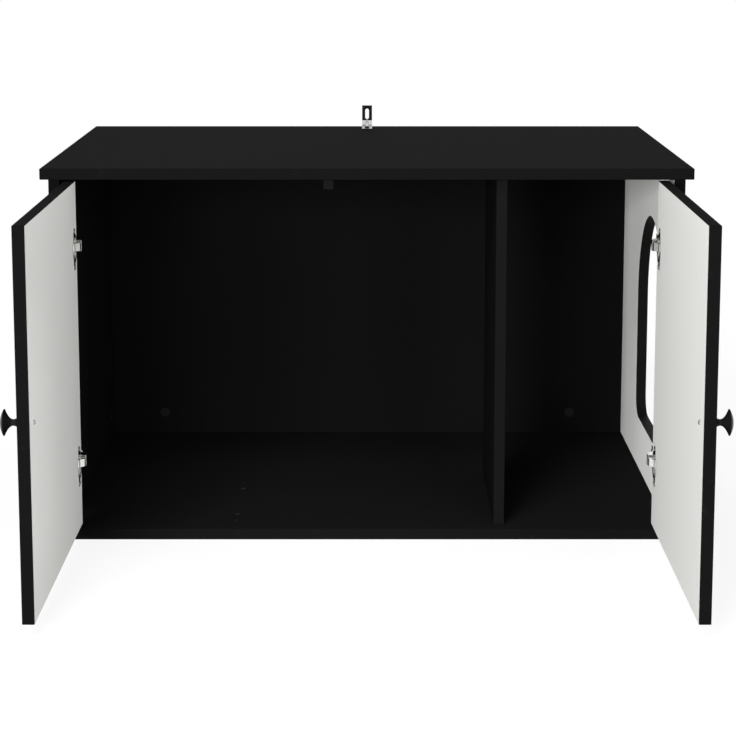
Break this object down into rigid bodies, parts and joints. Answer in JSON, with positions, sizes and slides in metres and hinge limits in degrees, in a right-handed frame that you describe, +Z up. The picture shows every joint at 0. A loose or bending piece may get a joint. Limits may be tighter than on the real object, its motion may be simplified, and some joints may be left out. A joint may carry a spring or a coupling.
{
  "type": "cat house cabinet",
  "caption": "Flat-pack cabinet for a cat, with two doors on concealed hinges, an arched side entrance, a short inner partition and a wall bracket.",
  "frame": {"origin": "on the floor, under the middle of the base board", "axes": "+X to the right seen from the doors, +Y to the rear, +Z up"},
  "size_m": [0.88, 1.0125, 0.549],
  "materials": {
    "black_laminate": "satin melamine, black",
    "two_tone_laminate": "melamine, black outside, pale grey inside, black edges",
    "edge_band": "matt",
    "black_knob": "satin",
    "nickel_steel": "bright nickel plate",
    "zinc_screw": "zinc plate",
    "black_zinc": "black passivated zinc",
    "dowel_wood": "bare beech",
    "stop_plastic": "matt"
  },
  "bodies": {
    "cabinet": {"top_panel": "black_laminate", "bottom_panel": "black_laminate", "left_side_panel": "black_laminate", "back_panel": "black_laminate", "partition_panel": "black_laminate", "right_side_panel": "two_tone_laminate", "entrance_edge_band": "edge_band", "left_upper_hinge_arm": "nickel_steel", "left_lower_hinge_arm": "nickel_steel", "right_upper_hinge_arm": "nickel_steel", "right_lower_hinge_arm": "nickel_steel", "left_upper_mounting_plate": "nickel_steel", "left_lower_mounting_plate": "nickel_steel", "right_upper_mounting_plate": "nickel_steel", "right_lower_mounting_plate": "nickel_steel", "hinge_arm_pins": "nickel_steel", "plate_screws": "zinc_screw", "arm_fixing_screws": "zinc_screw", "arm_adjusting_screws": "zinc_screw", "cam_bolts": "zinc_screw", "wall_bracket_screw": "black_zinc", "door_stop_screw": "zinc_screw", "cam_locks": "black_zinc", "dowels": "dowel_wood", "wall_bracket": "nickel_steel", "door_stop": "stop_plastic"},
    "left_hinge_levers": {"left_upper_hinge_lever": "nickel_steel", "left_lower_hinge_lever": "nickel_steel"},
    "right_hinge_levers": {"right_upper_hinge_lever": "nickel_steel", "right_lower_hinge_lever": "nickel_steel"},
    "left_door": {"left_door": "two_tone_laminate", "left_knob": "black_knob", "left_knob_screw": "zinc_screw", "left_upper_hinge_cup": "nickel_steel", "left_lower_hinge_cup": "nickel_steel", "left_cup_pins": "nickel_steel", "left_cup_screws": "zinc_screw"},
    "right_door": {"right_door": "two_tone_laminate", "right_knob": "black_knob", "right_knob_screw": "zinc_screw", "right_upper_hinge_cup": "nickel_steel", "right_lower_hinge_cup": "nickel_steel", "right_cup_pins": "nickel_steel", "right_cup_screws": "zinc_screw"}
  },
  "joints": [
    {"name": "left_lever_swing", "type": "hinge", "parent": "cabinet", "child": "left_hinge_levers", "pos_m": [-0.39748, -0.26442, 0.2575], "axis": [0, 0, -1], "range_deg": [0, 62.8]},
    {"name": "left_door_swing", "type": "hinge", "parent": "left_hinge_levers", "child": "left_door", "pos_m": [-0.397, -0.2855, 0.2575], "axis": [0, 0, 1], "range_deg": [0, 152.75]},
    {"name": "right_lever_swing", "type": "hinge", "parent": "cabinet", "child": "right_hinge_levers", "pos_m": [0.39748, -0.26442, 0.2575], "axis": [0, 0, 1], "range_deg": [0, 62.8]},
    {"name": "right_door_swing", "type": "hinge", "parent": "right_hinge_levers", "child": "right_door", "pos_m": [0.397, -0.2855, 0.2575], "axis": [0, 0, -1], "range_deg": [0, 152.75]}
  ],
  "couplings": [
    {"joint": "left_lever_swing", "follows": "left_door_swing", "ratio": 0.41082},
    {"joint": "right_lever_swing", "follows": "right_door_swing", "ratio": 0.41082}
  ]
}
